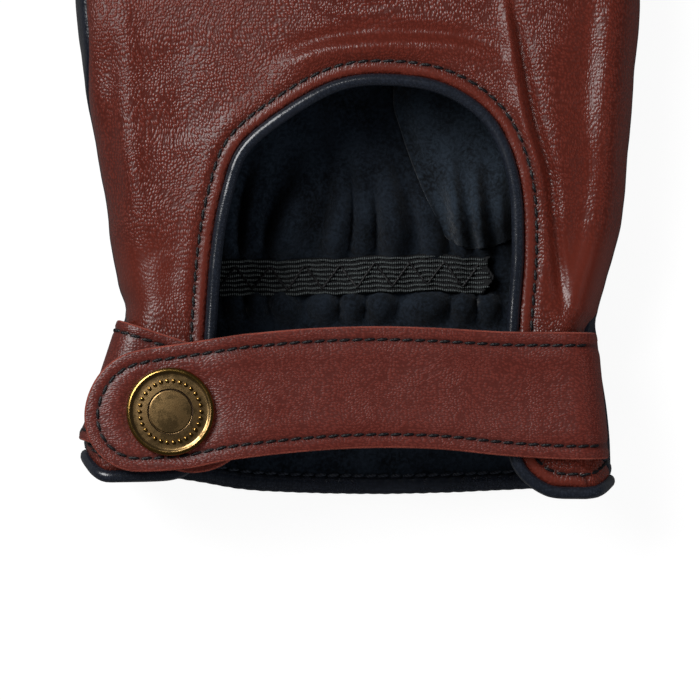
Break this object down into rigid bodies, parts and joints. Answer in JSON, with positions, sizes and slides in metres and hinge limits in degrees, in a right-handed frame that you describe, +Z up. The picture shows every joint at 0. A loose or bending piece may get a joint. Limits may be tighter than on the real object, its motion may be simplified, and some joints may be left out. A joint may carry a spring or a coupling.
{
  "type": "driving glove",
  "caption": "Left-hand leather driving glove with an open keyhole back, piped knuckle holes, elasticated palm and a wrist strap closed by a press stud.",
  "frame": {"origin": "on the table plane, under the middle of the wrist strap's centre line, midway between the side seams at the wrist", "axes": "+Z up out of the back of the hand, +Y from the wrist towards the fingertips, +X towards the thumb side"},
  "size_m": [0.1245, 0.2252, 0.03],
  "materials": {
    "back_leather": "pebbled semi-gloss",
    "strap_lining_leather": "matte",
    "palm_leather": "satin",
    "antique_brass": "antiqued",
    "elastic_tape": "ribbed",
    "dark_thread": "waxed thread",
    "navy_thread": "thread"
  },
  "bodies": {
    "glove": {"back_panel": "back_leather", "palm_panel": "palm_leather", "fourchette_index_middle": "palm_leather", "fourchette_middle_ring": "palm_leather", "fourchette_ring_little": "palm_leather", "thumb_back": "back_leather", "thumb_palm": "palm_leather", "thumb_gusset": "palm_leather", "palm_elastic": "elastic_tape", "elastic_stitching": "navy_thread", "keyhole_piping": "palm_leather", "knuckle_piping_little": "palm_leather", "knuckle_piping_ring": "palm_leather", "knuckle_piping_middle": "palm_leather", "knuckle_piping_index": "palm_leather", "palm_cuff_binding": "palm_leather", "keyhole_stitching": "dark_thread", "palm_cuff_stitching": "navy_thread"},
    "strap": {"strap_lining": "strap_lining_leather", "strap_outer": "back_leather", "strap_stitching": "dark_thread", "snap_cap": "antique_brass", "snap_socket": "antique_brass", "snap_spring": "antique_brass"},
    "stud_tab": {"tab_lining": "strap_lining_leather", "tab_outer": "back_leather", "tab_stitching": "dark_thread", "snap_stud": "antique_brass", "snap_post": "antique_brass"}
  },
  "joints": [
    {"name": "strap_hinge", "type": "hinge", "parent": "glove", "child": "strap", "pos_m": [0.04515, -0.00013, 0.0136], "axis": [-0.0958, 0.9951, -0.0259], "range_deg": [0, 170]},
    {"name": "tab_hinge", "type": "hinge", "parent": "glove", "child": "stud_tab", "pos_m": [-0.04716, 0.00346, 0.01351], "axis": [0.309, 0.9507, -0.0247], "range_deg": [-85, 0]}
  ],
  "couplings": [
    {"joint": "tab_hinge", "follows": "strap_hinge", "ratio": -0.5}
  ]
}
